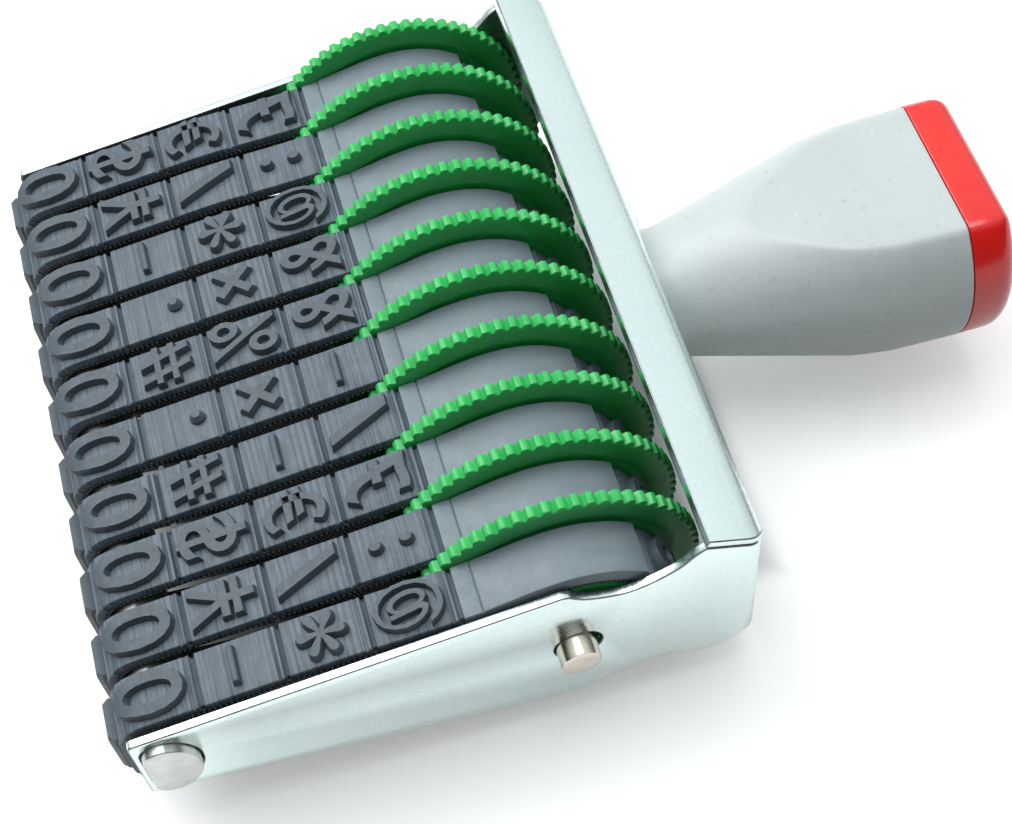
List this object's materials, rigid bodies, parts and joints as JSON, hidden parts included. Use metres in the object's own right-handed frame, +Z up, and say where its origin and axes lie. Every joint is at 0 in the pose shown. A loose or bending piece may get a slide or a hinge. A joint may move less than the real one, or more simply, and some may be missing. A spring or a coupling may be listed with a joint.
{
  "type": "band number stamp",
  "caption": "Hand stamp with rubber character bands set by green thumbwheels in a bent steel frame, with a flared grey handle and red end cap.",
  "frame": {"origin": "middle of the bounding box seen from above, at the height of the thumbwheels' lowest points, where the stamp touches a table", "axes": "+X from the print end to the end cap along the handle, +Y along the axle away from the near side plate, +Z up, square to the character bands' mid-plane"},
  "size_m": [0.0868, 0.0654, 0.0256],
  "materials": {
    "frame_steel": "bright zinc-plated sheet, semi-mirror",
    "bridge_metal": "plated bar, satin",
    "pin_metal": "nickel-plated, satin",
    "wheel_plastic": "moulded, satin, slightly translucent",
    "band_rubber": "matt vulcanised rubber on woven tape",
    "handle_plastic": "satin moulded, pale grey",
    "cap_plastic": "gloss, slightly translucent red",
    "screw_steel": "plain steel"
  },
  "bodies": {
    "stamp_body": {"frame": "frame_steel", "print_bridge": "bridge_metal", "axle": "pin_metal", "handle": "handle_plastic", "end_cap": "cap_plastic", "handle_screw": "screw_steel", "screw_washer": "screw_steel", "band_01": "band_rubber", "band_02": "band_rubber", "band_03": "band_rubber", "band_04": "band_rubber", "band_05": "band_rubber", "band_06": "band_rubber", "band_07": "band_rubber", "band_08": "band_rubber", "band_09": "band_rubber", "band_10": "band_rubber"},
    "wheel_01_body": {"wheel_01": "wheel_plastic"},
    "wheel_02_body": {"wheel_02": "wheel_plastic"},
    "wheel_03_body": {"wheel_03": "wheel_plastic"},
    "wheel_04_body": {"wheel_04": "wheel_plastic"},
    "wheel_05_body": {"wheel_05": "wheel_plastic"},
    "wheel_06_body": {"wheel_06": "wheel_plastic"},
    "wheel_07_body": {"wheel_07": "wheel_plastic"},
    "wheel_08_body": {"wheel_08": "wheel_plastic"},
    "wheel_09_body": {"wheel_09": "wheel_plastic"},
    "wheel_10_body": {"wheel_10": "wheel_plastic"}
  },
  "joints": [
    {"name": "wheel_01_turn", "type": "hinge", "parent": "stamp_body", "child": "wheel_01_body", "pos_m": [-0.0048, 0.0295, 0.0128], "axis": [0, 1, 0], "continuous": true},
    {"name": "wheel_02_turn", "type": "hinge", "parent": "stamp_body", "child": "wheel_02_body", "pos_m": [-0.0048, 0.0235, 0.0128], "axis": [0, 1, 0], "continuous": true},
    {"name": "wheel_03_turn", "type": "hinge", "parent": "stamp_body", "child": "wheel_03_body", "pos_m": [-0.0048, 0.0175, 0.0128], "axis": [0, 1, 0], "continuous": true},
    {"name": "wheel_04_turn", "type": "hinge", "parent": "stamp_body", "child": "wheel_04_body", "pos_m": [-0.0048, 0.0115, 0.0128], "axis": [0, 1, 0], "continuous": true},
    {"name": "wheel_05_turn", "type": "hinge", "parent": "stamp_body", "child": "wheel_05_body", "pos_m": [-0.0048, 0.0055, 0.0128], "axis": [0, 1, 0], "continuous": true},
    {"name": "wheel_06_turn", "type": "hinge", "parent": "stamp_body", "child": "wheel_06_body", "pos_m": [-0.0048, -0.0005, 0.0128], "axis": [0, 1, 0], "continuous": true},
    {"name": "wheel_07_turn", "type": "hinge", "parent": "stamp_body", "child": "wheel_07_body", "pos_m": [-0.0048, -0.0065, 0.0128], "axis": [0, 1, 0], "continuous": true},
    {"name": "wheel_08_turn", "type": "hinge", "parent": "stamp_body", "child": "wheel_08_body", "pos_m": [-0.0048, -0.0125, 0.0128], "axis": [0, 1, 0], "continuous": true},
    {"name": "wheel_09_turn", "type": "hinge", "parent": "stamp_body", "child": "wheel_09_body", "pos_m": [-0.0048, -0.0185, 0.0128], "axis": [0, 1, 0], "continuous": true},
    {"name": "wheel_10_turn", "type": "hinge", "parent": "stamp_body", "child": "wheel_10_body", "pos_m": [-0.0048, -0.0245, 0.0128], "axis": [0, 1, 0], "continuous": true}
  ]
}
